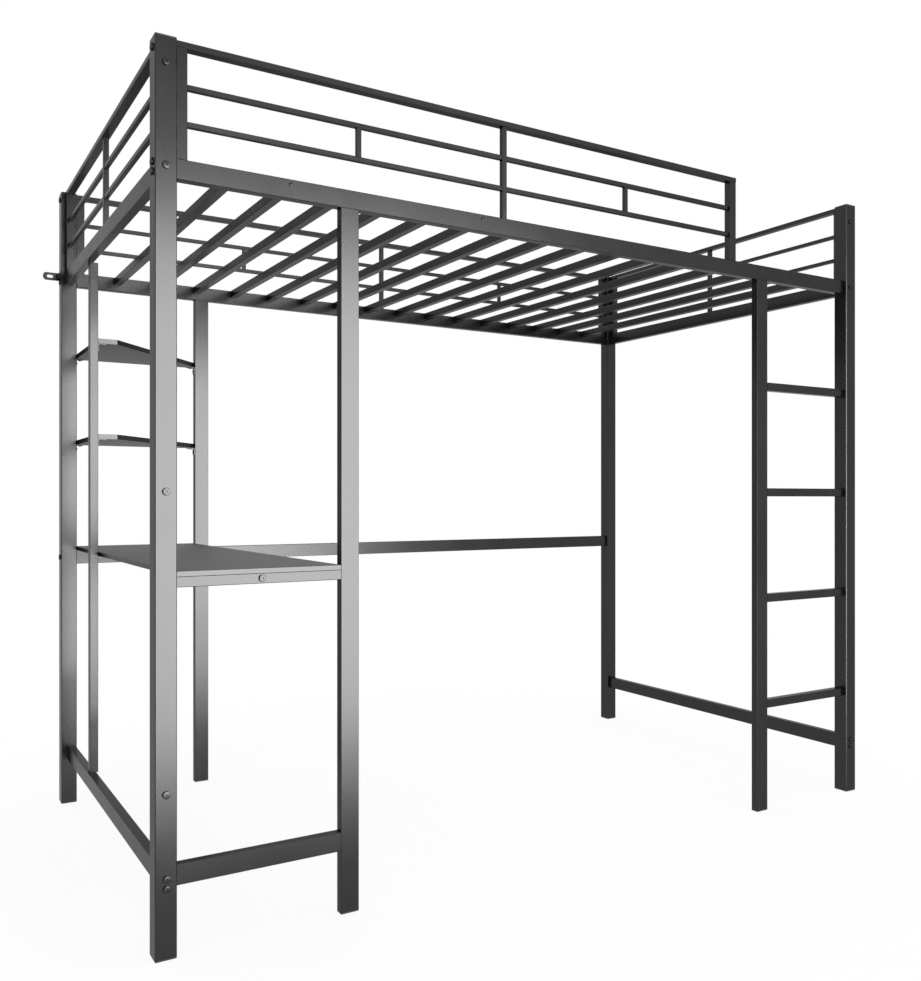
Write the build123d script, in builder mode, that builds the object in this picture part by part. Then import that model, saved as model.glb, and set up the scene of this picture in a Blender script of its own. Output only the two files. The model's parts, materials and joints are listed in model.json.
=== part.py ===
# Loft bed in square steel tube, with a desk and corner shelves at one end and a ladder at the other.
# Millimetres, +Z up, +X towards the ladder end, -Y to the front, where the ladder is climbed.
# The origin is on the floor, under the middle of the whole outline.
import os
from build123d import *

os.makedirs("parts", exist_ok=True)

# Overall size and the tube stock, whose corners are cut flat to keep the faces few
bed_length = 1988
bed_width = 1056
post_height = 1676
post_size = 40
post_wall = 1.5
post_corner = 1.6
rail_depth = 20
rail_height = 38
tube_wall = 1.2
tube_corner = 1.1
bar_size = 10
bar_wall = 1
bar_corner = 0.6
slim_size = 12
weld_plug = 12
plug_margin = 1

# Furniture bolts, small screws and their holes, which have few sides because there are many of them
bolt_radius = 3
bolt_head_radius = 7
bolt_head_height = 3.6
bolt_head_edge = 1.8
bolt_sides = 8
bolt_bite = 10
screw_radius = 2
screw_head_radius = 4
screw_head_height = 2.2
screw_head_edge = 1
screw_length = 9
bolt_clearance = 0.3
thread_clearance = 0.05
bolt_pair_step = 18

# Sleeping deck and the guards around it
guard_height = 217
slat_count = 16
slat_size = 20
slat_end = 152.5
tie_slat_count = 4
guard_top_height = 12
guard_stile = 22
guard_slim_stile = 14
guard_bar_drop = 80.5
guard_bar_step = 68.5
front_guard_length = 1468.5
guard_side_bolt_drop = 19
guard_end_bolt_drop = 49

# Desk, shelves and the low rails under them
desk_span = 372
desk_board = 10
board_edge = 1
desk_top_level = 703.5
leg_width = 40
desk_rail_height = 20
low_rail_level = 138
front_low_rail_level = 147
left_low_rail_inset = 16
shelf_upright_depth = 22
shelf_upright_front = 720
shelf_thickness = 12
shelf_levels = (984.5, 1222)
shelf_lip = 46
bracket_leg = 20
bracket_width = 16
bracket_plate = 2
blank_levels = (849, 300)

# Ladder
ladder_gap = 318
rung_count = 4
rung_height = 22

# Caps, feet and the wall anchor
cap_plate = 3
cap_round = 1.2
cap_depth = 10
cap_clearance = 0.25
anchor_reach = 42
anchor_plate = 2.5
anchor_height = 21
anchor_slot_length = 16
anchor_slot_width = 8
anchor_slot_from_end = 18

# Lines of the frame
x_left = (anchor_reach - bed_length - bolt_head_height) / 2
x_right = x_left + bed_length
y_front = -bed_width / 2
y_back = bed_width / 2
post_half = post_size / 2
x_in_left = x_left + post_size
x_in_right = x_right - post_size
y_in_front = y_front + post_size
y_in_back = y_back - post_size
x_line_left = x_left + post_half
x_line_right = x_right - post_half
y_line_front = y_front + post_half
y_line_back = y_back - post_half
span_x = x_in_right - x_in_left
span_y = y_in_back - y_in_front
deck_top = post_height - guard_height
guard_bar_high = post_height - guard_bar_drop
guard_bar_levels = (guard_bar_high, guard_bar_high - guard_bar_step)
guard_side_bolt = post_height - guard_side_bolt_drop
guard_end_bolt = post_height - guard_end_bolt_drop
rail_level = deck_top - rail_height / 2
rail_bottom = deck_top - rail_height
bolt_pair = (-bolt_pair_step / 2, bolt_pair_step / 2)
tap_radius = bolt_radius + thread_clearance
bolt_hole = bolt_radius + bolt_clearance
screw_tap = screw_radius + thread_clearance
left, right = (-1, 0, 0), (1, 0, 0)
front, back = (0, -1, 0), (0, 1, 0)
down, up = (0, 0, -1), (0, 0, 1)

# Stock: width, height, wall and corner of each kind of tube, with no wall for a solid bar
post_stock = (post_size, post_size, post_wall, post_corner)
rail_stock = (rail_depth, rail_height, tube_wall, tube_corner)
slat_stock = (slat_size, slat_size, tube_wall, tube_corner)
leg_stock = (leg_width, rail_depth, tube_wall, tube_corner)
rung_stock = (rail_depth, rung_height, tube_wall, tube_corner)
desk_stock = (rail_depth, desk_rail_height, tube_wall, tube_corner)
shelf_stock = (rail_depth, shelf_upright_depth, tube_wall, tube_corner)
top_stock = (rail_depth, guard_top_height, tube_wall, tube_corner)
long_stile = (guard_stile, rail_depth, tube_wall, tube_corner)
end_stile = (rail_depth, guard_stile, tube_wall, tube_corner)
solid_stile = (guard_slim_stile, slim_size, 0, bar_corner)
slim_stock = (slim_size, slim_size, bar_wall, bar_corner)
bar_stock = (bar_size, bar_size, bar_wall, bar_corner)


def looking(direction, x, y, z):
    """A plane at a point, with its normal along the direction and its sides level."""
    across = (0, 1, 0) if direction in (left, right) else (1, 0, 0)
    return Plane(origin=(x, y, z), x_dir=across, z_dir=direction)


def save(piece, label):
    piece.part.label = label
    export_step(piece.part, f"parts/{label}.step")


def tubes(label, runs, plugs=0, holes=()):
    """Straight tubes of given stock, each from its plane along the normal, with end plugs and holes."""
    with BuildPart() as piece:
        for start, length, (width, height, wall, corner) in runs:
            with BuildSketch(start) as section:
                Rectangle(width, height)
                chamfer(section.vertices(), corner)
                if wall:
                    Rectangle(width - 2 * wall, height - 2 * wall, mode=Mode.SUBTRACT)
            extrude(amount=length)
            if plugs:
                with BuildSketch(start, start.offset(length - plugs)):
                    Rectangle(width - 2 * wall, height - 2 * wall)
                extrude(amount=plugs)
        for mouth, radius, depth in holes:
            with BuildSketch(mouth):
                RegularPolygon(radius, bolt_sides)
            extrude(amount=-depth, mode=Mode.SUBTRACT)
    save(piece, label)


def end_taps(line_holes):
    """Tapped holes in the end plugs of a bolted tube, from their mouths."""
    return [(mouth, tap_radius, weld_plug) for mouth in line_holes]


# Bolts through the posts: each is a plane on the post's outer face, looking the way the head looks
post_bolts = []
for x_face, side in ((x_left, left), (x_right, right)):
    for y_line in (y_line_front, y_line_back):
        for step in bolt_pair:
            post_bolts.append(looking(side, x_face, y_line, rail_level + step))
anchor_bolt = post_bolts.pop(3)
guard_corners = ((x_left, left, y_line_front), (x_left, left, y_line_back), (x_right, right, y_line_back))
for x_face, side, y_line in guard_corners:
    post_bolts.append(looking(side, x_face, y_line, guard_side_bolt))
rung_step = rail_bottom / (rung_count + 1)
rung_levels = [rung_step * (number + 1) for number in range(rung_count)]
for level in rung_levels:
    post_bolts.append(looking(right, x_right, y_line_front, level))
desk_board_bottom = desk_top_level - desk_board
back_desk_rail_level = desk_board_bottom - rail_height / 2
for x_face, side in ((x_left, left), (x_right, right)):
    post_bolts.append(looking(side, x_face, y_line_back, back_desk_rail_level))
x_low_left = x_left + left_low_rail_inset + rail_depth / 2
low_bolt_left = x_low_left - rail_depth / 2 + tube_wall + bolt_radius + plug_margin
for y_face, side in ((y_front, front), (y_back, back)):
    for x_line, x_low in ((x_line_left, low_bolt_left), (x_line_right, x_line_right)):
        for level in (rail_level, guard_end_bolt):
            post_bolts.append(looking(side, x_line, y_face, level))
        for step in bolt_pair:
            post_bolts.append(looking(side, x_low, y_face, low_rail_level + step))
blank_bolts = [looking(front, x_line_left, y_front, level) for level in blank_levels]

# Posts: drilled right through for each bolt, and tapped for the shelf bracket screws
shelf_screw_drop = bracket_plate + (bracket_leg - bracket_plate) / 2
shelf_screw_levels = [level - shelf_screw_drop for level in shelf_levels]
posts = {
    "post_front_left": (x_line_left, y_line_front),
    "post_back_left": (x_line_left, y_line_back),
    "post_front_right": (x_line_right, y_line_front),
    "post_back_right": (x_line_right, y_line_back),
}
for post, (x_line, y_line) in posts.items():
    drilled = []
    for mouth in post_bolts:
        if abs(mouth.origin.X - x_line) <= post_half and abs(mouth.origin.Y - y_line) <= post_half:
            drilled.append((mouth, bolt_hole, post_size))
    if post == "post_front_left":
        drilled += [(mouth, bolt_hole, post_half) for mouth in blank_bolts]
    if post == "post_back_left":
        drilled.append((anchor_bolt, bolt_hole, post_size))
        for level in shelf_screw_levels:
            drilled.append((looking(right, x_in_left, y_line, level), screw_tap, post_half))
    foot = looking(up, x_line, y_line, cap_plate)
    tubes(post, [(foot, post_height - 2 * cap_plate, post_stock)], holes=drilled)

# Caps in the tops of the posts, and feet in the bottoms of the posts and legs
x_desk = x_left + desk_span
x_desk_leg = x_desk + leg_width / 2
x_ladder_leg = x_in_right - ladder_gap - leg_width / 2
legs = {
    "desk_leg_front": (x_desk_leg, y_line_front),
    "desk_leg_back": (x_desk_leg, y_line_back),
    "ladder_leg": (x_ladder_leg, y_line_front),
}


def end_plugs(label, direction, level, ends):
    """Moulded plugs pushed into tube ends, each with a plate that covers the end and a softened rim."""
    with BuildPart() as piece:
        for (x, y), (width, depth, wall, corner) in ends:
            with BuildSketch(looking(direction, x, y, level)) as plate:
                Rectangle(width, depth)
                chamfer(plate.vertices(), corner)
            extrude(amount=cap_plate)
        outer = piece.faces().group_by(Axis.Z)[-1 if direction == up else 0]
        chamfer(outer.edges(), cap_round)
        for (x, y), (width, depth, wall, corner) in ends:
            with BuildSketch(looking(direction, x, y, level)):
                Rectangle(width - 2 * wall - 2 * cap_clearance, depth - 2 * wall - 2 * cap_clearance)
            extrude(amount=-cap_depth)
    save(piece, label)


post_ends = [(place, post_stock) for place in posts.values()]
leg_ends = [(place, leg_stock) for place in legs.values()]
end_plugs("post_caps", up, post_height - cap_plate, post_ends)
end_plugs("feet", down, cap_plate, post_ends + leg_ends)

# Bed rails: plugged ends take the post bolts, and the long rails are drilled for the tie slats' screws,
# from the second slat to the last but one
slat_pitch = (bed_length - 2 * slat_end) / (slat_count - 1)
slat_lines = [x_left + slat_end + slat_pitch * number for number in range(slat_count)]
tie_step = (slat_count - 3) / (tie_slat_count - 1)
tie_slats = [1 + round(tie_step * number) for number in range(tie_slat_count)]
slat_level = deck_top - slat_size / 2
slat_screws = []
for y_line, side in ((y_line_front, front), (y_line_back, back)):
    y_out = y_line + side[1] * rail_depth / 2
    rail_taps = []
    for step in bolt_pair:
        rail_taps.append(looking(left, x_in_left, y_line, rail_level + step))
        rail_taps.append(looking(right, x_in_right, y_line, rail_level + step))
    screw_mouths = [looking(side, slat_lines[number], y_out, slat_level) for number in tie_slats]
    slat_screws += screw_mouths
    drilled = [(mouth, screw_radius + bolt_clearance, rail_depth) for mouth in screw_mouths]
    start = looking(right, x_in_left, y_line, rail_level)
    label = "bed_rail_front" if side == front else "bed_rail_back"
    tubes(label, [(start, span_x, rail_stock)], weld_plug, drilled + end_taps(rail_taps))

for label, x_line in (("bed_rail_left", x_line_left), ("bed_rail_right", x_line_right)):
    rail_taps = [looking(front, x_line, y_in_front, rail_level), looking(back, x_line, y_in_back, rail_level)]
    start = looking(back, x_line, y_in_front, rail_level)
    tubes(label, [(start, span_y, rail_stock)], weld_plug, end_taps(rail_taps))

# Slats: cross tubes between the long rails, flush with their tops; the tie slats are tapped for screws
y_slat_front = y_line_front + rail_depth / 2
y_slat_back = y_line_back - rail_depth / 2
for number, x in enumerate(slat_lines):
    start = looking(back, x, y_slat_front, slat_level)
    tapped = []
    if number in tie_slats:
        tapped.append((looking(front, x, y_slat_front, slat_level), screw_tap, weld_plug))
        tapped.append((looking(back, x, y_slat_back, slat_level), screw_tap, weld_plug))
    plug = weld_plug if tapped else 0
    length = y_slat_back - y_slat_front
    tubes(f"slat_{number + 1:02d}", [(start, length, slat_stock)], plug, tapped)


# Guards: a flat top tube on end stiles and a slim middle upright, with two bars in each bay
guard_top_level = post_height - guard_top_height / 2
guard_rise = post_height - guard_top_height - deck_top
spacer_foot = guard_bar_levels[1] + bar_size / 2
spacer_rise = guard_bar_levels[0] - guard_bar_levels[1] - bar_size


def guard_run(x, y, foot, rise, stock):
    return (looking(up, x, y, foot), rise, stock)


def long_guard(side, y_line, x_start, x_end, holes):
    """A guard along the bed, with a short spacer between the bars in the middle of each bay."""
    x_mid = (x_start + x_end) / 2
    bay = (x_end - x_start - slim_size) / 2 - guard_stile
    top = looking(right, x_start, y_line, guard_top_level)
    tubes(f"guard_{side}_top", [(top, x_end - x_start, top_stock)])
    uprights = [
        guard_run(x_start + guard_stile / 2, y_line, deck_top, guard_rise, long_stile),
        guard_run(x_end - guard_stile / 2, y_line, deck_top, guard_rise, long_stile),
        guard_run(x_mid, y_line, deck_top, guard_rise, slim_stock),
    ]
    bars = []
    for x in (x_start + guard_stile, x_mid + slim_size / 2):
        for level in guard_bar_levels:
            bars.append((looking(right, x, y_line, level), bay, bar_stock))
        uprights.append(guard_run(x + bay / 2, y_line, spacer_foot, spacer_rise, bar_stock))
    tubes(f"guard_{side}_bars", bars)
    tubes(f"guard_{side}_uprights", uprights, holes=holes)


def end_guard(side, x_line):
    """A guard across an end of the bed, with a slim solid stile at the front and a full one at the back."""
    y_mid = (y_in_front + y_in_back) / 2
    top = looking(back, x_line, y_in_front, guard_top_level)
    tubes(f"guard_{side}_top", [(top, span_y, top_stock)])
    uprights = [
        guard_run(x_line, y_in_front + slim_size / 2, deck_top, guard_rise, solid_stile),
        guard_run(x_line, y_in_back - guard_stile / 2, deck_top, guard_rise, end_stile),
        guard_run(x_line, y_mid, deck_top, guard_rise, slim_stock),
    ]
    holes = [
        (looking(front, x_line, y_in_front, guard_end_bolt), tap_radius, slim_size),
        (looking(back, x_line, y_in_back, guard_end_bolt), tap_radius, guard_stile / 2),
    ]
    tubes(f"guard_{side}_uprights", uprights, holes=holes)
    bars = []
    y_starts = (y_in_front + slim_size, y_mid + slim_size / 2)
    y_ends = (y_mid - slim_size / 2, y_in_back - guard_stile)
    for y_start, y_end in zip(y_starts, y_ends):
        for level in guard_bar_levels:
            bars.append((looking(back, x_line, y_start, level), y_end - y_start, bar_stock))
    tubes(f"guard_{side}_bars", bars)


def stile_tap(side, x_face, y_line):
    return (looking(side, x_face, y_line, guard_side_bolt), tap_radius, guard_stile / 2)


front_tap = stile_tap(left, x_in_left, y_line_front)
back_taps = [stile_tap(left, x_in_left, y_line_back), stile_tap(right, x_in_right, y_line_back)]
long_guard("front", y_line_front, x_in_left, x_in_left + front_guard_length, [front_tap])
long_guard("back", y_line_back, x_in_left, x_in_right, back_taps)
end_guard("left", x_line_left)
end_guard("right", x_line_right)

# Legs under the long bed rails, welded at the top; the back desk leg is tapped for the shelf brackets
for leg, (x, y_line) in legs.items():
    drilled = []
    if leg == "desk_leg_back":
        for level in shelf_screw_levels:
            drilled.append((looking(left, x_desk, y_line, level), screw_tap, leg_width / 2))
    foot = looking(up, x, y_line, cap_plate)
    tubes(leg, [(foot, rail_bottom - cap_plate, leg_stock)], holes=drilled)

# Ladder rungs, in equal steps from the floor to the bed rail, bolted through the post
x_rung = x_ladder_leg + leg_width / 2
rungs = [(looking(right, x_rung, y_line_front, level), ladder_gap, rung_stock) for level in rung_levels]
tapped = end_taps([looking(right, x_in_right, y_line_front, level) for level in rung_levels])
tubes("rungs", rungs, weld_plug, tapped)

# Low rails between the posts and from the front left post to the front desk leg
x_low_bolts = {"low_rail_left": (x_low_left, low_bolt_left), "low_rail_right": (x_line_right, x_line_right)}
for label, (x_line, x_bolt) in x_low_bolts.items():
    rail_taps = []
    for step in bolt_pair:
        rail_taps.append(looking(front, x_bolt, y_in_front, low_rail_level + step))
        rail_taps.append(looking(back, x_bolt, y_in_back, low_rail_level + step))
    start = looking(back, x_line, y_in_front, low_rail_level)
    tubes(label, [(start, span_y, rail_stock)], weld_plug, end_taps(rail_taps))
desk_bay = x_desk - x_in_left
start = looking(right, x_in_left, y_line_front, front_low_rail_level)
tubes("low_rail_front", [(start, desk_bay, rail_stock)])

# Desk frame: a front rail, a back rail in two lengths beside the leg, and a cross tube under the board
x_desk_mid = x_in_left + desk_bay / 2
desk_rail_level = desk_board_bottom - desk_rail_height / 2
desk_bolts = [
    looking(front, x_desk_mid, y_line_front - rail_depth / 2, desk_rail_level),
    looking(back, x_desk_mid, y_line_back + rail_depth / 2, desk_rail_level),
]
through = [(mouth, bolt_hole, rail_depth) for mouth in desk_bolts]
start = looking(right, x_in_left, y_line_front, desk_rail_level)
tubes("desk_rail_front", [(start, desk_bay, desk_stock)], holes=through[:1])
start = looking(right, x_in_left, y_line_back, back_desk_rail_level)
tapped = end_taps([looking(left, x_in_left, y_line_back, back_desk_rail_level)]) + through[1:]
tubes("desk_rail_back", [(start, desk_bay, rail_stock)], weld_plug, tapped)
start = looking(right, x_desk + leg_width, y_line_back, back_desk_rail_level)
tapped = end_taps([looking(right, x_in_right, y_line_back, back_desk_rail_level)])
tubes("back_rail", [(start, x_in_right - x_desk - leg_width, rail_stock)], weld_plug, tapped)
start = looking(back, x_desk_mid, y_slat_front, desk_rail_level)
tapped = end_taps([
    looking(front, x_desk_mid, y_slat_front, desk_rail_level),
    looking(back, x_desk_mid, y_slat_back, desk_rail_level),
])
tubes("desk_cross_tube", [(start, y_slat_back - y_slat_front, desk_stock)], weld_plug, tapped)

# Desk board on the rails, between the posts and the legs
with BuildPart() as desk_board_part:
    with BuildSketch(Plane.XY.offset(desk_board_bottom)):
        with Locations((x_desk_mid, 0)):
            Rectangle(desk_bay, bed_width - post_size + rail_depth)
    extrude(amount=desk_board)
    chamfer(desk_board_part.faces().sort_by(Axis.Z)[-1].edges(), board_edge)
save(desk_board_part, "desk_board")

# Shelf upright on the left low rail, and two corner shelves cut off aslant towards the back desk leg
y_upright = y_front + shelf_upright_front
upright_line = y_upright + shelf_upright_depth / 2
x_upright = x_in_left - rail_depth / 2
low_rail_top = low_rail_level + rail_height / 2
start = looking(up, x_upright, upright_line, low_rail_top)
drilled = []
for level in shelf_screw_levels:
    drilled.append((looking(right, x_in_left, upright_line, level), screw_tap, rail_depth / 2))
tubes("shelf_upright", [(start, rail_bottom - low_rail_top, shelf_stock)], holes=drilled)

bracket_half = bracket_width / 2
bracket_reach = bracket_plate + (bracket_leg - bracket_plate) / 2
bracket_places = (
    (x_in_left, y_line_back, 1),
    (x_in_left, upright_line, 1),
    (x_desk, y_line_back, -1),
)
y_shelf_back = y_line_back + rail_depth / 2
y_shelf_tip = y_line_back - rail_depth / 2
for label, level in zip(("shelf_lower", "shelf_upper"), shelf_levels):
    with BuildPart() as shelf:
        with BuildSketch(Plane.XY.offset(level)):
            with BuildLine():
                Polyline(
                    (x_in_left, y_upright),
                    (x_in_left + shelf_lip, y_upright),
                    (x_desk, y_shelf_tip),
                    (x_desk, y_shelf_back),
                    (x_in_left, y_shelf_back),
                    close=True,
                )
            make_face()
        extrude(amount=shelf_thickness)
        for x, y, way in bracket_places:
            with BuildSketch(looking(down, x + way * bracket_reach, y, level)):
                RegularPolygon(screw_tap, bolt_sides)
            extrude(amount=-screw_length, mode=Mode.SUBTRACT)
    save(shelf, label)

# Shelf brackets: small angles screwed to the tubes, one under each end of a shelf
bracket_screws = []
with BuildPart() as shelf_brackets:
    for level, screw_level in zip(shelf_levels, shelf_screw_levels):
        for x, y, way in bracket_places:
            with BuildSketch(Plane(origin=(x, y + bracket_half, level), x_dir=(1, 0, 0), z_dir=front)):
                with BuildLine():
                    Polyline(
                        (0, 0),
                        (way * bracket_leg, 0),
                        (way * bracket_leg, -bracket_plate),
                        (way * bracket_plate, -bracket_plate),
                        (way * bracket_plate, -bracket_leg),
                        (0, -bracket_leg),
                        close=True,
                    )
                make_face()
            extrude(amount=bracket_width)
            side = right if way > 0 else left
            bracket_screws.append(looking(side, x + way * bracket_plate, y, screw_level))
            bracket_screws.append(looking(down, x + way * bracket_reach, y, level - bracket_plate))
    with BuildSketch(*bracket_screws):
        RegularPolygon(screw_radius + bolt_clearance, bolt_sides)
    extrude(amount=-bracket_plate, mode=Mode.SUBTRACT)
save(shelf_brackets, "shelf_brackets")

# Wall anchor: a bent plate under the head of a bed rail bolt, with a slot for a screw into the wall
x_anchor_end = x_left - anchor_reach
anchor_bolt_level = anchor_bolt.origin.Z
anchor_mouth = anchor_bolt.offset(anchor_plate)
with BuildPart() as wall_anchor:
    with BuildSketch(Plane.XY.offset(anchor_bolt_level - anchor_height / 2)):
        with BuildLine():
            Polyline(
                (x_left, y_in_back),
                (x_left, y_back),
                (x_anchor_end, y_back),
                (x_anchor_end, y_back - anchor_plate),
                (x_left - anchor_plate, y_back - anchor_plate),
                (x_left - anchor_plate, y_in_back),
                close=True,
            )
        make_face()
    extrude(amount=anchor_height)
    tip_edges = wall_anchor.edges().filter_by(Axis.Y).sort_by(Axis.X)[:2]
    fillet(tip_edges, anchor_height / 2 - tube_wall)
    with BuildSketch(looking(back, x_anchor_end + anchor_slot_from_end, y_back, anchor_bolt_level)):
        SlotOverall(anchor_slot_length, anchor_slot_width)
    extrude(amount=-anchor_plate, mode=Mode.SUBTRACT)
    with BuildSketch(anchor_mouth):
        RegularPolygon(bolt_hole, bolt_sides)
    extrude(amount=-anchor_plate, mode=Mode.SUBTRACT)
save(wall_anchor, "wall_anchor")


def fasteners(label, mouths, radius, length, head_radius, head_height, head_edge):
    """Bolts or screws, one at each mouth, with the head's underside on the mouth's plane."""
    with BuildPart() as one:
        with BuildSketch(Plane.XY):
            RegularPolygon(head_radius, bolt_sides)
        extrude(amount=head_height)
        chamfer(one.faces().sort_by(Axis.Z)[-1].edges(), head_edge)
        with BuildSketch(Plane.XY):
            RegularPolygon(radius, bolt_sides)
        extrude(amount=-length)
    with BuildPart() as group:
        with Locations(*mouths):
            add(one.part)
    save(group, label)


bolt_head = (bolt_head_radius, bolt_head_height, bolt_head_edge)
screw_head = (screw_head_radius, screw_head_height, screw_head_edge)
post_grip = post_size + bolt_bite
rail_grip = rail_depth + bolt_bite
fasteners("post_bolts", post_bolts + [anchor_mouth], bolt_radius, post_grip, *bolt_head)
fasteners("short_bolts", desk_bolts + blank_bolts, bolt_radius, rail_grip, *bolt_head)
fasteners("slat_screws", slat_screws, screw_radius, rail_grip, *screw_head)
fasteners("bracket_screws", bracket_screws, screw_radius, screw_length, *screw_head)
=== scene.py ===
import json
import math

import bpy
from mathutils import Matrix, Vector


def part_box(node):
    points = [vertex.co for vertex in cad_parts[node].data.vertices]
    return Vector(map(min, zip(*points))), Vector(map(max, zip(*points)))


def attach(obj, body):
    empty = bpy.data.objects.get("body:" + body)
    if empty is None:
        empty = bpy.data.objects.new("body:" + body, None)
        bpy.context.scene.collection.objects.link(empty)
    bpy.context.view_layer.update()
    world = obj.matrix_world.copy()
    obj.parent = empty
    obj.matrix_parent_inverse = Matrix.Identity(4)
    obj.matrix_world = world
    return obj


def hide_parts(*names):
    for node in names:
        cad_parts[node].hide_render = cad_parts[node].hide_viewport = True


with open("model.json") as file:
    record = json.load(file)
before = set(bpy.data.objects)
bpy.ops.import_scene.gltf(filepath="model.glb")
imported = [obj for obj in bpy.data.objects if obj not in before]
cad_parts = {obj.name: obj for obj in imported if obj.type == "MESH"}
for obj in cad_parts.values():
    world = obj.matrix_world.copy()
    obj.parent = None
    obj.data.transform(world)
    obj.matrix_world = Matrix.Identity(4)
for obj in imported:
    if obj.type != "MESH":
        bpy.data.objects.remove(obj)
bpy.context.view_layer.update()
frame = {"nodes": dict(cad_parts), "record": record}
print("frame loaded:", len(frame["nodes"]), "nodes")


# sRGB hex to the linear colour that a shader socket takes
def linear(hexColour):
    channels = [int(hexColour[i:i + 2], 16) / 255 for i in (1, 3, 5)]
    return [c / 12.92 if c <= 0.04045 else ((c + 0.055) / 1.055) ** 2.4 for c in channels] + [1]


# one node with its settings, its inputs by name or number, each a value or another node's output
def addNode(tree, kind, inputs=None, **settings):
    node = tree.nodes.new(kind)
    for name, value in settings.items():
        setattr(node, name, value)
    for name, value in (inputs or {}).items():
        if isinstance(value, bpy.types.NodeSocket):
            tree.links.new(value, node.inputs[name])
        else:
            node.inputs[name].default_value = value
    return node


def newMaterial(name):
    material = bpy.data.materials.new(name)
    material.use_nodes = True
    material.node_tree.nodes.clear()
    return material, material.node_tree


# noise cycles per metre for a feature of this many millimetres
def perMetre(millimetres):
    return 1000 / millimetres


mixFirst, mixSecond, mixResult = 6, 7, 2  # sockets of a Mix node that is set to colours
noiseLow, noiseHigh = 0.3, 0.7  # most of a noise texture lies between these


# metallic powder coat on steel tube: graphite flake in a satin film, with faint orange peel
# and soft patches, and dark at a glancing view, so that the sides of the tubes stay dark
powderCoat = {
    "colour": "#333333",
    "patch": "#373737",
    "patchMm": 180,
    "patchDetail": 3.0,
    "peelMm": 3.0,  # real peel is about 1 mm, drawn coarser so that it shows
    "peelDetail": 1.0,
    "peelHeight": 0.000006,
    "peelStrength": 0.5,
    "roughness": (0.24, 0.29),
    "metallic": 0.92,
    "glance": "#c4c4c4",
}


def powderCoatedSteel(look):
    material, tree = newMaterial("powder-coated steel, charcoal satin")
    place = addNode(tree, "ShaderNodeTexCoord").outputs["Object"]
    patch = addNode(tree, "ShaderNodeTexNoise", {
        "Vector": place, "Scale": perMetre(look["patchMm"]), "Detail": look["patchDetail"]})
    peel = addNode(tree, "ShaderNodeTexNoise", {
        "Vector": place, "Scale": perMetre(look["peelMm"]), "Detail": look["peelDetail"]})
    colour = addNode(tree, "ShaderNodeMix", {
        "Factor": patch.outputs["Fac"], mixFirst: linear(look["colour"]),
        mixSecond: linear(look["patch"])}, data_type="RGBA")
    rough = addNode(tree, "ShaderNodeMapRange", {
        "Value": patch.outputs["Fac"], "From Min": noiseLow, "From Max": noiseHigh,
        "To Min": look["roughness"][0], "To Max": look["roughness"][1]})
    bump = addNode(tree, "ShaderNodeBump", {
        "Height": peel.outputs["Fac"], "Strength": look["peelStrength"], "Distance": look["peelHeight"]})
    shader = addNode(tree, "ShaderNodeBsdfPrincipled", {
        "Base Color": colour.outputs[mixResult], "Roughness": rough.outputs["Result"],
        "Metallic": look["metallic"], "Normal": bump.outputs["Normal"],
        "Specular Tint": linear(look["glance"])})
    addNode(tree, "ShaderNodeOutputMaterial", {"Surface": shader.outputs["BSDF"]})
    return material


# melamine laminate on fibreboard: even charcoal with a fine pebbled press texture, flatter than
# the steel, and a smooth edge band that catches the light as the tubes do
laminate = {
    "colour": "#353535",
    "fleck": "#3e3e3e",
    "fleckMm": 6,
    "fleckDetail": 4.0,
    "pebbleMm": 2.5,  # the press grain is finer, drawn as coarse as it needs to show
    "pebbleHeight": 0.00008,
    "pebbleStrength": 0.4,
    "roughness": 0.6,
    "specular": 0.5,
    "edgeColour": "#353535",
    "edgeRoughness": 0.24,  # the edge band shines like the steel
    "edgeTurn": (0.3, 0.6),  # upward part of the normal where the band ends and the face begins
    "glance": "#c4c4c4",
}


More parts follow.
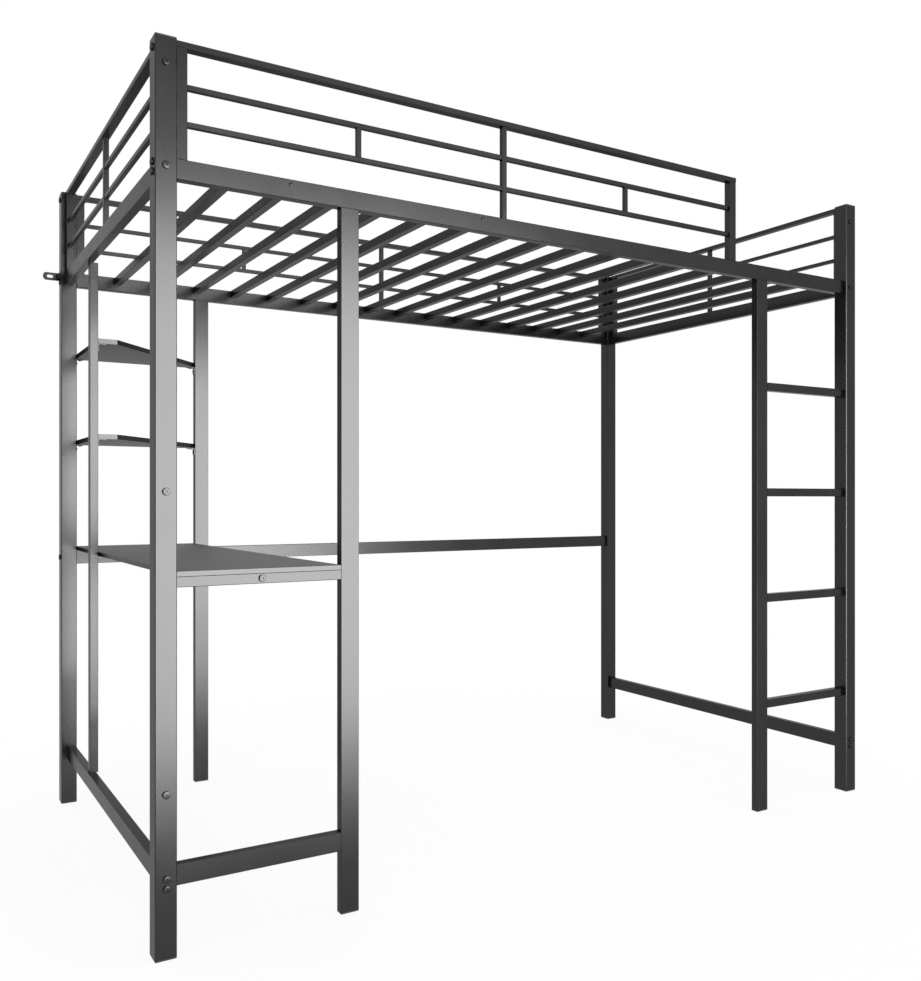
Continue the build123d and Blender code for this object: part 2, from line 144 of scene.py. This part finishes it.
def laminatedFibreboard(look):
    material, tree = newMaterial("melamine-faced fibreboard, charcoal")
    place = addNode(tree, "ShaderNodeTexCoord")
    fleck = addNode(tree, "ShaderNodeTexNoise", {
        "Vector": place.outputs["Object"], "Scale": perMetre(look["fleckMm"]),
        "Detail": look["fleckDetail"]})
    pebble = addNode(tree, "ShaderNodeTexVoronoi", {
        "Vector": place.outputs["Object"], "Scale": perMetre(look["pebbleMm"])})
    # 1 on the faces of the board, 0 round its edge
    normal = addNode(tree, "ShaderNodeSeparateXYZ", {"Vector": place.outputs["Normal"]})
    upward = addNode(tree, "ShaderNodeMath", {0: normal.outputs["Z"]}, operation="ABSOLUTE")
    face = addNode(tree, "ShaderNodeMapRange", {
        "Value": upward.outputs["Value"], "From Min": look["edgeTurn"][0], "From Max": look["edgeTurn"][1]})
    band = addNode(tree, "ShaderNodeMath", {0: 1.0, 1: face.outputs["Result"]}, operation="SUBTRACT")
    grain = addNode(tree, "ShaderNodeMix", {
        "Factor": fleck.outputs["Fac"], mixFirst: linear(look["colour"]),
        mixSecond: linear(look["fleck"])}, data_type="RGBA")
    colour = addNode(tree, "ShaderNodeMix", {
        "Factor": face.outputs["Result"], mixFirst: linear(look["edgeColour"]),
        mixSecond: grain.outputs[mixResult]}, data_type="RGBA")
    rough = addNode(tree, "ShaderNodeMapRange", {
        "Value": face.outputs["Result"], "To Min": look["edgeRoughness"], "To Max": look["roughness"]})
    press = addNode(tree, "ShaderNodeMath", {
        0: pebble.outputs["Distance"], 1: face.outputs["Result"]}, operation="MULTIPLY")
    bump = addNode(tree, "ShaderNodeBump", {
        "Height": press.outputs["Value"], "Strength": look["pebbleStrength"],
        "Distance": look["pebbleHeight"]})
    shader = addNode(tree, "ShaderNodeBsdfPrincipled", {
        "Base Color": colour.outputs[mixResult], "Roughness": rough.outputs["Result"],
        "Metallic": band.outputs["Value"], "Normal": bump.outputs["Normal"],
        "Specular IOR Level": look["specular"], "Specular Tint": linear(look["glance"])})
    addNode(tree, "ShaderNodeOutputMaterial", {"Surface": shader.outputs["BSDF"]})
    return material


# moulded polyethylene caps and feet: deep black with a fine spark-eroded grain that spreads
# the highlight
mouldedCap = {
    "colour": "#161616",
    "worn": "#222222",
    "grainMm": 1.6,  # mould grain is finer, drawn coarser so that it shows
    "grainDetail": 2.0,
    "grainHeight": 0.00008,
    "grainStrength": 0.6,
    "roughness": 0.6,
    "ior": 1.51,
}


def mouldedPolyethylene(look):
    material, tree = newMaterial("moulded polyethylene, black")
    place = addNode(tree, "ShaderNodeTexCoord").outputs["Object"]
    grain = addNode(tree, "ShaderNodeTexNoise", {
        "Vector": place, "Scale": perMetre(look["grainMm"]), "Detail": look["grainDetail"]})
    colour = addNode(tree, "ShaderNodeMix", {
        "Factor": grain.outputs["Fac"], mixFirst: linear(look["colour"]),
        mixSecond: linear(look["worn"])}, data_type="RGBA")
    bump = addNode(tree, "ShaderNodeBump", {
        "Height": grain.outputs["Fac"], "Strength": look["grainStrength"],
        "Distance": look["grainHeight"]})
    shader = addNode(tree, "ShaderNodeBsdfPrincipled", {
        "Base Color": colour.outputs[mixResult], "Roughness": look["roughness"],
        "Normal": bump.outputs["Normal"], "IOR": look["ior"]})
    addNode(tree, "ShaderNodeOutputMaterial", {"Surface": shader.outputs["BSDF"]})
    return material


# bolts and screws coated to match: the frame's charcoal, with a trace of cloud where the coat is thin
coatedBolt = {
    "colour": "#333333",
    "cloud": "#373737",
    "cloudMm": 5,
    "cloudDetail": 2.0,
    "roughness": (0.24, 0.29),
    "metallic": 0.92,
    "glance": "#c4c4c4",
}


def coatedSteelBolts(look):
    material, tree = newMaterial("coated steel bolts, charcoal")
    place = addNode(tree, "ShaderNodeTexCoord").outputs["Object"]
    cloud = addNode(tree, "ShaderNodeTexNoise", {
        "Vector": place, "Scale": perMetre(look["cloudMm"]), "Detail": look["cloudDetail"]})
    colour = addNode(tree, "ShaderNodeMix", {
        "Factor": cloud.outputs["Fac"], mixFirst: linear(look["colour"]),
        mixSecond: linear(look["cloud"])}, data_type="RGBA")
    rough = addNode(tree, "ShaderNodeMapRange", {
        "Value": cloud.outputs["Fac"], "From Min": noiseLow, "From Max": noiseHigh,
        "To Min": look["roughness"][0], "To Max": look["roughness"][1]})
    shader = addNode(tree, "ShaderNodeBsdfPrincipled", {
        "Base Color": colour.outputs[mixResult], "Roughness": rough.outputs["Result"],
        "Metallic": look["metallic"], "Specular Tint": linear(look["glance"])})
    addNode(tree, "ShaderNodeOutputMaterial", {"Surface": shader.outputs["BSDF"]})
    return material


finishes = {
    "frame": powderCoatedSteel(powderCoat),
    "board": laminatedFibreboard(laminate),
    "cap": mouldedPolyethylene(mouldedCap),
    "fastener": coatedSteelBolts(coatedBolt),
}
for subpart in frame["record"]["subparts"]:
    for slot in frame["nodes"][subpart["node"]].material_slots:
        slot.material = finishes[subpart["material_slot"]]
print("finishes on every node")


# round-headed bolts and screws in place of the few-sided ones of the CAD model, each with a
# socket for its driver
buttonBolt = {
    "headRadius": 0.007,
    "headHeight": 0.0036,
    "shankRadius": 0.003,
    "socket": "hex",
    "socketRadius": 0.0023,
    "socketDepth": 0.0018,
}
panScrew = {
    "headRadius": 0.004,
    "headHeight": 0.0022,
    "shankRadius": 0.002,
    "socket": "cross",
    "socketRadius": 0.0022,
    "socketDepth": 0.0012,
    "bladeWidth": 0.0008,
}
fastenerKinds = {
    "post_bolts": buttonBolt,
    "short_bolts": buttonBolt,
    "slat_screws": panScrew,
    "bracket_screws": panScrew,
}
# what bolts and screws have in common
turned = {
    "sides": 32,
    "dome": 0.001,
    "domeSteps": 4,
    "domeProfile": 0.5,  # a quarter round
    "tipLead": 0.0008,
    "tipTaper": 0.8,
    "smoothDegrees": 35,
}
endFacing = 0.9  # a face looks up or down when this much of its normal does
mergeDistance = 0.00001


def selectOnly(pieces):
    bpy.ops.object.select_all(action="DESELECT")
    for piece in pieces:
        piece.select_set(True)
    bpy.context.view_layer.objects.active = pieces[0]


# edit mode with just the faces picked that look up, for a side of 1, or down, for -1
def pickEnd(piece, side):
    bpy.context.view_layer.objects.active = piece
    bpy.ops.object.mode_set(mode="EDIT")
    bpy.ops.mesh.select_mode(type="FACE")
    bpy.ops.mesh.select_all(action="DESELECT")
    bpy.ops.object.mode_set(mode="OBJECT")
    for face in piece.data.polygons:
        face.select = face.normal.z * side > endFacing
    bpy.ops.object.mode_set(mode="EDIT")


# the shape a driver leaves: a hexagon key, or two crossed blades
def driverShapes(kind):
    top, radius, depth = kind["headHeight"], kind["socketRadius"], kind["socketDepth"]
    if kind["socket"] == "hex":
        bpy.ops.mesh.primitive_cylinder_add(vertices=6, radius=radius, depth=2 * depth, location=(0, 0, top))
        return [bpy.context.object]
    blades = []
    for turn in (0, 90):
        bpy.ops.mesh.primitive_cube_add(size=1, location=(0, 0, top), rotation=(0, 0, math.radians(turn)))
        blade = bpy.context.object
        blade.scale = (2 * radius, kind["bladeWidth"], 2 * depth)
        bpy.ops.object.transform_apply(scale=True, rotation=True)
        blades.append(blade)
    return blades


# one bolt, head up, with the underside of its head at the origin
def boltWithHead(name, kind, length):
    bpy.ops.object.select_all(action="DESELECT")
    bpy.ops.mesh.primitive_cylinder_add(
        vertices=turned["sides"], radius=kind["headRadius"], depth=kind["headHeight"],
        location=(0, 0, kind["headHeight"] / 2))
    bolt = bpy.context.object
    bolt.name = name
    bpy.ops.object.transform_apply(location=True)
    # shank: the underside drawn in and pulled down, with a small lead at its tip
    lead, taper = turned["tipLead"], turned["tipTaper"]
    pickEnd(bolt, -1)
    bpy.ops.mesh.inset(thickness=kind["headRadius"] - kind["shankRadius"])
    bpy.ops.mesh.extrude_region_move(TRANSFORM_OT_translate={"value": (0, 0, lead - length)})
    bpy.ops.mesh.extrude_region_move(TRANSFORM_OT_translate={"value": (0, 0, -lead)})
    bpy.ops.transform.resize(value=(taper, taper, 1.0), center_override=(0, 0, -length))
    # low dome round the top of the head
    pickEnd(bolt, 1)
    bpy.ops.mesh.bevel(
        offset=turned["dome"], segments=turned["domeSteps"], profile=turned["domeProfile"])
    bpy.ops.object.mode_set(mode="OBJECT")
    for driver in driverShapes(kind):
        cut = bolt.modifiers.new("driver socket", "BOOLEAN")
        cut.operation = "DIFFERENCE"
        cut.object = driver
        bpy.context.view_layer.objects.active = bolt
        bpy.ops.object.modifier_apply(modifier=cut.name)
        bpy.data.objects.remove(driver)
    selectOnly([bolt])
    bpy.ops.object.shade_smooth_by_angle(angle=math.radians(turned["smoothDegrees"]))
    return bolt


# where each bolt of a node sits, as the point under its head and the way the head looks,
# and the length that they all have below the head
def fastenerPlaces(node, headHeight):
    loose = bpy.data.objects.new("loose bolts", node.data.copy())
    loose.matrix_world = node.matrix_world
    bpy.context.scene.collection.objects.link(loose)
    selectOnly([loose])
    bpy.ops.object.mode_set(mode="EDIT")
    bpy.ops.mesh.select_all(action="SELECT")
    bpy.ops.mesh.remove_doubles(threshold=mergeDistance)
    bpy.ops.mesh.separate(type="LOOSE")
    bpy.ops.object.mode_set(mode="OBJECT")
    places = []
    for single in list(bpy.context.selected_objects):
        points = [single.matrix_world @ vertex.co for vertex in single.data.vertices]
        low = Vector([min(point[i] for point in points) for i in range(3)])
        high = Vector([max(point[i] for point in points) for i in range(3)])
        middle = (low + high) / 2
        axis = max(range(3), key=lambda i: (high - low)[i])
        # the head's corners stand furthest from the bolt's own line
        across = [i for i in range(3) if i != axis]
        widest = max(points, key=lambda point: sum((point[i] - middle[i]) ** 2 for i in across))
        way = Vector((0, 0, 0))
        way[axis] = 1 if widest[axis] > middle[axis] else -1
        seat = middle.copy()
        seat[axis] = (high if way[axis] > 0 else low)[axis] - way[axis] * headHeight
        length = (high - low)[axis] - headHeight
        places.append((seat, way))
    bpy.ops.object.delete()
    return places, length


def roundFasteners(nodeName, kind):
    places, length = fastenerPlaces(frame["nodes"][nodeName], kind["headHeight"])
    pattern = boltWithHead("bolt pattern", kind, length)
    copies = []
    for seat, way in places:
        copy = pattern.copy()
        copy.data = pattern.data.copy()
        bpy.context.scene.collection.objects.link(copy)
        copy.location = seat
        copy.rotation_euler = way.to_track_quat("Z", "Y").to_euler()
        copies.append(copy)
    bpy.data.objects.remove(pattern)
    selectOnly(copies)
    bpy.ops.object.transform_apply(location=True, rotation=True)
    bpy.ops.object.join()
    group = bpy.context.object
    group.name = nodeName + "_round"
    group.data.materials.clear()
    group.data.materials.append(finishes["fastener"])
    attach(group, "root")
    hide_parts(nodeName)


for nodeName, kind in fastenerKinds.items():
    roundFasteners(nodeName, kind)
print("round bolts and screws")


# floor and background: white to the eye, with only a faint shadow close to the feet
studio = {
    "floorHalf": 1.75,  # the floor stops where it has become as white as the background
    "floorColour": "#f4f4f4",
    "nearWhite": 0.9,  # share of plain white in the floor's look beside the bed
    "near": 0.9,  # metres from the middle where the floor starts to fade
    "far": 1.7,  # and where it has become plain white
    "background": "#ffffff",
    "ambient": 0.85,
}


# 1 for rays from the eye, a mirror or glass, 0 for the rays that carry light
def seenRays(tree):
    rays = addNode(tree, "ShaderNodeLightPath")
    seen = addNode(tree, "ShaderNodeMath", {
        0: rays.outputs["Is Camera Ray"], 1: rays.outputs["Is Glossy Ray"]}, operation="MAXIMUM")
    through = addNode(tree, "ShaderNodeMath", {
        0: seen.outputs["Value"], 1: rays.outputs["Is Transmission Ray"]}, operation="MAXIMUM")
    return through.outputs["Value"]


def studioFloor(look):
    bpy.ops.object.select_all(action="DESELECT")
    bpy.ops.mesh.primitive_plane_add(size=2 * look["floorHalf"], location=(0, 0, 0))
    floor = bpy.context.object
    floor.name = "floor"
    material, tree = newMaterial("matt white floor")
    place = addNode(tree, "ShaderNodeTexCoord").outputs["Object"]
    away = addNode(tree, "ShaderNodeVectorMath", {0: place}, operation="LENGTH")
    fade = addNode(tree, "ShaderNodeMapRange", {
        "Value": away.outputs["Value"], "From Min": look["near"], "From Max": look["far"],
        "To Min": look["nearWhite"], "To Max": 1.0}, interpolation_type="SMOOTHSTEP")
    share = addNode(tree, "ShaderNodeMath", {
        0: fade.outputs["Result"], 1: seenRays(tree)}, operation="MULTIPLY")
    matt = addNode(tree, "ShaderNodeBsdfDiffuse", {"Color": linear(look["floorColour"])})
    glow = addNode(tree, "ShaderNodeEmission", {"Color": linear(look["background"]), "Strength": 1.0})
    both = addNode(tree, "ShaderNodeMixShader", {
        "Fac": share.outputs["Value"], 1: matt.outputs["BSDF"], 2: glow.outputs["Emission"]})
    addNode(tree, "ShaderNodeOutputMaterial", {"Surface": both.outputs["Shader"]})
    floor.data.materials.append(material)
    floor.visible_glossy = False  # the tubes mirror the background and the softbox down to their feet


def studioWorld(look):
    world = bpy.data.worlds.new("white studio")
    world.use_nodes = True
    tree = world.node_tree
    tree.nodes.clear()
    level = addNode(tree, "ShaderNodeMapRange", {
        "Value": seenRays(tree), "To Min": look["ambient"], "To Max": 1.0})
    white = addNode(tree, "ShaderNodeBackground", {
        "Color": linear(look["background"]), "Strength": level.outputs["Result"]})
    addNode(tree, "ShaderNodeOutputWorld", {"Surface": white.outputs["Background"]})
    bpy.context.scene.world = world


studioFloor(studio)
studioWorld(studio)
print("floor and background")


# lamps: a softbox in front, right of the camera, that shows only as a reflection down the tubes
# at the desk end, and an overhead panel that fills the deck and the desk at a plain level
lamps = {
    "softbox": {
        "place": (0.29, -2.9, 0.83),
        "aim": (0.29, 0.0, 0.83),
        "size": (2.26, 2.42),  # its lower edge is below the floor, so the reflection fades near the feet
        "watts": 250,
        "onlyGloss": True,
    },
    "overhead": {
        "place": (0.4, -0.6, 4.2),
        "aim": (0.0, 0.0, 0.0),
        "size": (3.5, 3.0),
        "watts": 60,
        "onlyGloss": False,
    },
}


def addLamp(name, lamp):
    data = bpy.data.lights.new(name, "AREA")
    data.shape = "RECTANGLE"
    data.size, data.size_y = lamp["size"]
    data.energy = lamp["watts"]
    lampObject = bpy.data.objects.new(name, data)
    bpy.context.scene.collection.objects.link(lampObject)
    start, end = Vector(lamp["place"]), Vector(lamp["aim"])
    lampObject.location = start
    lampObject.rotation_euler = (end - start).to_track_quat("-Z", "Y").to_euler()
    lampObject.visible_camera = False
    lampObject.visible_diffuse = not lamp["onlyGloss"]


for name, lamp in lamps.items():
    addLamp(name, lamp)
print("lamps")


# camera level, a little above the desk, out past the left front corner, as in the photograph
photo = {
    "width": 921,
    "height": 981,
    "focalPixels": 935.29,
    "centrePixel": (429.13, 497.92),
    "place": (-0.42295, -1.70005, 0.83754),  # metres from the foot of the front left post
    "turnDegrees": 30.31,
    "sensorMm": 36,
}


def photoCamera(view):
    data = bpy.data.cameras.new("camera")
    camera = bpy.data.objects.new("camera", data)
    bpy.context.scene.collection.objects.link(camera)
    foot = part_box("post_front_left")[0]
    x, y, z = view["place"]
    camera.location = (foot.x + x, foot.y + y, z)
    camera.rotation_euler = (math.radians(90), 0, -math.radians(view["turnDegrees"]))
    longSide = max(view["width"], view["height"])
    data.sensor_width = view["sensorMm"]
    data.lens = view["focalPixels"] / longSide * view["sensorMm"]
    data.shift_x = (view["width"] / 2 - view["centrePixel"][0]) / longSide
    data.shift_y = (view["centrePixel"][1] - view["height"] / 2) / longSide
    bpy.context.scene.camera = camera


photoCamera(photo)
bpy.context.scene.view_settings.view_transform = "Standard"
print("camera")
